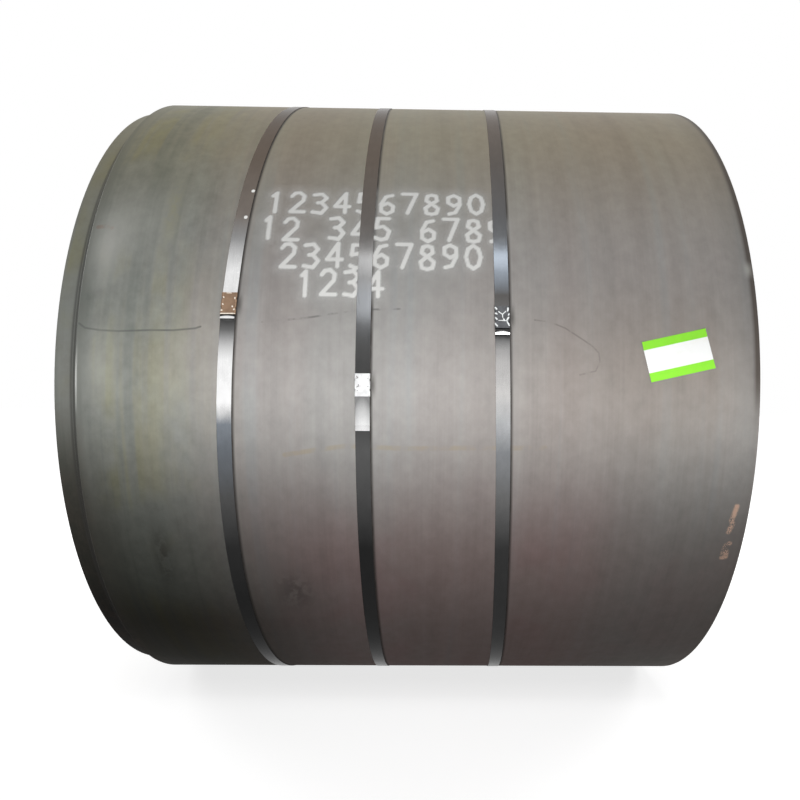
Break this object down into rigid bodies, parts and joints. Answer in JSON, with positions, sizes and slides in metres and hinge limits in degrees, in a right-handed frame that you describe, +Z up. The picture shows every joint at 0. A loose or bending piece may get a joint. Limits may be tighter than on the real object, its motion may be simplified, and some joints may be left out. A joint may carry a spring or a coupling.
{
  "type": "steel coil",
  "caption": "Hot-rolled steel coil lying on its side: wound strip with an open eye, outer turns telescoped to one end, held by crimped steel straps and carrying a blank paper label.",
  "frame": {"origin": "on the floor under the middle of the coil's length", "axes": "+X along the bore from the end with the stepped turns to the end with the label, -Y to the front that carries the seals, +Z up"},
  "size_m": [1.56, 1.8597, 1.8487],
  "materials": {
    "coil_steel": "dull grey mill scale with streaks",
    "strap_steel": "smooth bare steel strap",
    "seal_bronze_tone": "rust-tinted crimped steel sheet",
    "seal_zinc": "bright zinc-coated crimped sheet",
    "seal_dark": "dark crimped steel sheet with scraped edges",
    "label_paper": "printed label stock, green bands on white, no text"
  },
  "bodies": {
    "root": {"coil": "coil_steel", "strap_left": "strap_steel", "strap_middle": "strap_steel", "strap_right": "strap_steel", "seal_left": "seal_bronze_tone", "seal_middle": "seal_zinc", "seal_right": "seal_dark", "label": "label_paper"}
  },
  "joints": []
}
